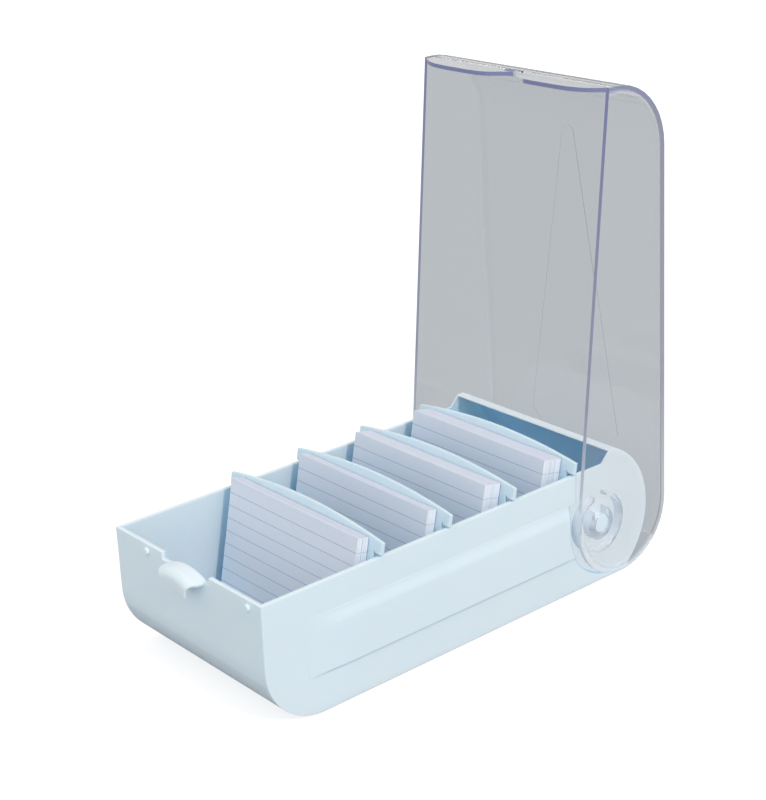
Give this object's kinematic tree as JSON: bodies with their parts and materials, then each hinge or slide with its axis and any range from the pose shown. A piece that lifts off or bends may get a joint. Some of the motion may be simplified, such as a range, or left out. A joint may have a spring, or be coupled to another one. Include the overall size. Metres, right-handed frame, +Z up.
{
  "type": "index card box",
  "caption": "Desktop index-card box: long open tray with a round rear end, clear flip lid on two side pins, sliding leaning dividers and packs of ruled cards.",
  "frame": {"origin": "centre of the bounding box at its base, under the middle of the tray", "axes": "+Z up, +X across the width, the tray's front faces -Y and its round hinge end +Y"},
  "size_m": [0.1374, 0.2871, 0.2794],
  "materials": {
    "tray_plastic": "satin, pale blue, slightly translucent",
    "lid_plastic": "clear grey, polished, with violet-blue edges",
    "divider_plastic": "satin, pale blue",
    "card_stock": null
  },
  "bodies": {
    "tray": {"tray": "tray_plastic"},
    "lid": {"lid": "lid_plastic"},
    "divider_1": {"divider_1": "divider_plastic"},
    "divider_2": {"divider_2": "divider_plastic"},
    "divider_3": {"divider_3": "divider_plastic"},
    "divider_4": {"divider_4": "divider_plastic"},
    "cards_1_front": {"cards_1_front": "card_stock"},
    "cards_1_rear": {"cards_1_rear": "card_stock"},
    "cards_2": {"cards_2": "card_stock"},
    "cards_3_front": {"cards_3_front": "card_stock"},
    "cards_3_rear": {"cards_3_rear": "card_stock"},
    "cards_4_front": {"cards_4_front": "card_stock"},
    "cards_4_rear": {"cards_4_rear": "card_stock"}
  },
  "joints": [
    {"name": "lid_hinge", "type": "hinge", "parent": "tray", "child": "lid", "pos_m": [0, 0.0922, 0.039], "axis": [-1, 0, 0], "range_deg": [-86.5, 0]},
    {"name": "divider_1_slide", "type": "slide", "parent": "tray", "child": "divider_1", "axis": [0, 1, 0], "range_m": [0, 0.03]},
    {"name": "divider_2_slide", "type": "slide", "parent": "tray", "child": "divider_2", "axis": [0, 1, 0], "range_m": [0, 0.028]},
    {"name": "divider_3_slide", "type": "slide", "parent": "tray", "child": "divider_3", "axis": [0, 1, 0], "range_m": [0, 0.025]},
    {"name": "divider_4_slide", "type": "slide", "parent": "tray", "child": "divider_4", "axis": [0, 1, 0], "range_m": [0, 0.014]},
    {"name": "cards_1_front_lift_out", "type": "slide", "parent": "tray", "child": "cards_1_front", "axis": [0, 0.2045, 0.9789], "range_m": [0, 0.078]},
    {"name": "cards_1_rear_lift_out", "type": "slide", "parent": "tray", "child": "cards_1_rear", "axis": [0, 0.2045, 0.9789], "range_m": [0, 0.078]},
    {"name": "cards_2_lift_out", "type": "slide", "parent": "tray", "child": "cards_2", "axis": [0, 0.2045, 0.9789], "range_m": [0, 0.078]},
    {"name": "cards_3_front_lift_out", "type": "slide", "parent": "tray", "child": "cards_3_front", "axis": [0, 0.2045, 0.9789], "range_m": [0, 0.078]},
    {"name": "cards_3_rear_lift_out", "type": "slide", "parent": "tray", "child": "cards_3_rear", "axis": [0, 0.2045, 0.9789], "range_m": [0, 0.078]},
    {"name": "cards_4_front_lift_out", "type": "slide", "parent": "tray", "child": "cards_4_front", "axis": [0, 0.2045, 0.9789], "range_m": [0, 0.078]},
    {"name": "cards_4_rear_lift_out", "type": "slide", "parent": "tray", "child": "cards_4_rear", "axis": [0, 0.2045, 0.9789], "range_m": [0, 0.078]}
  ]
}
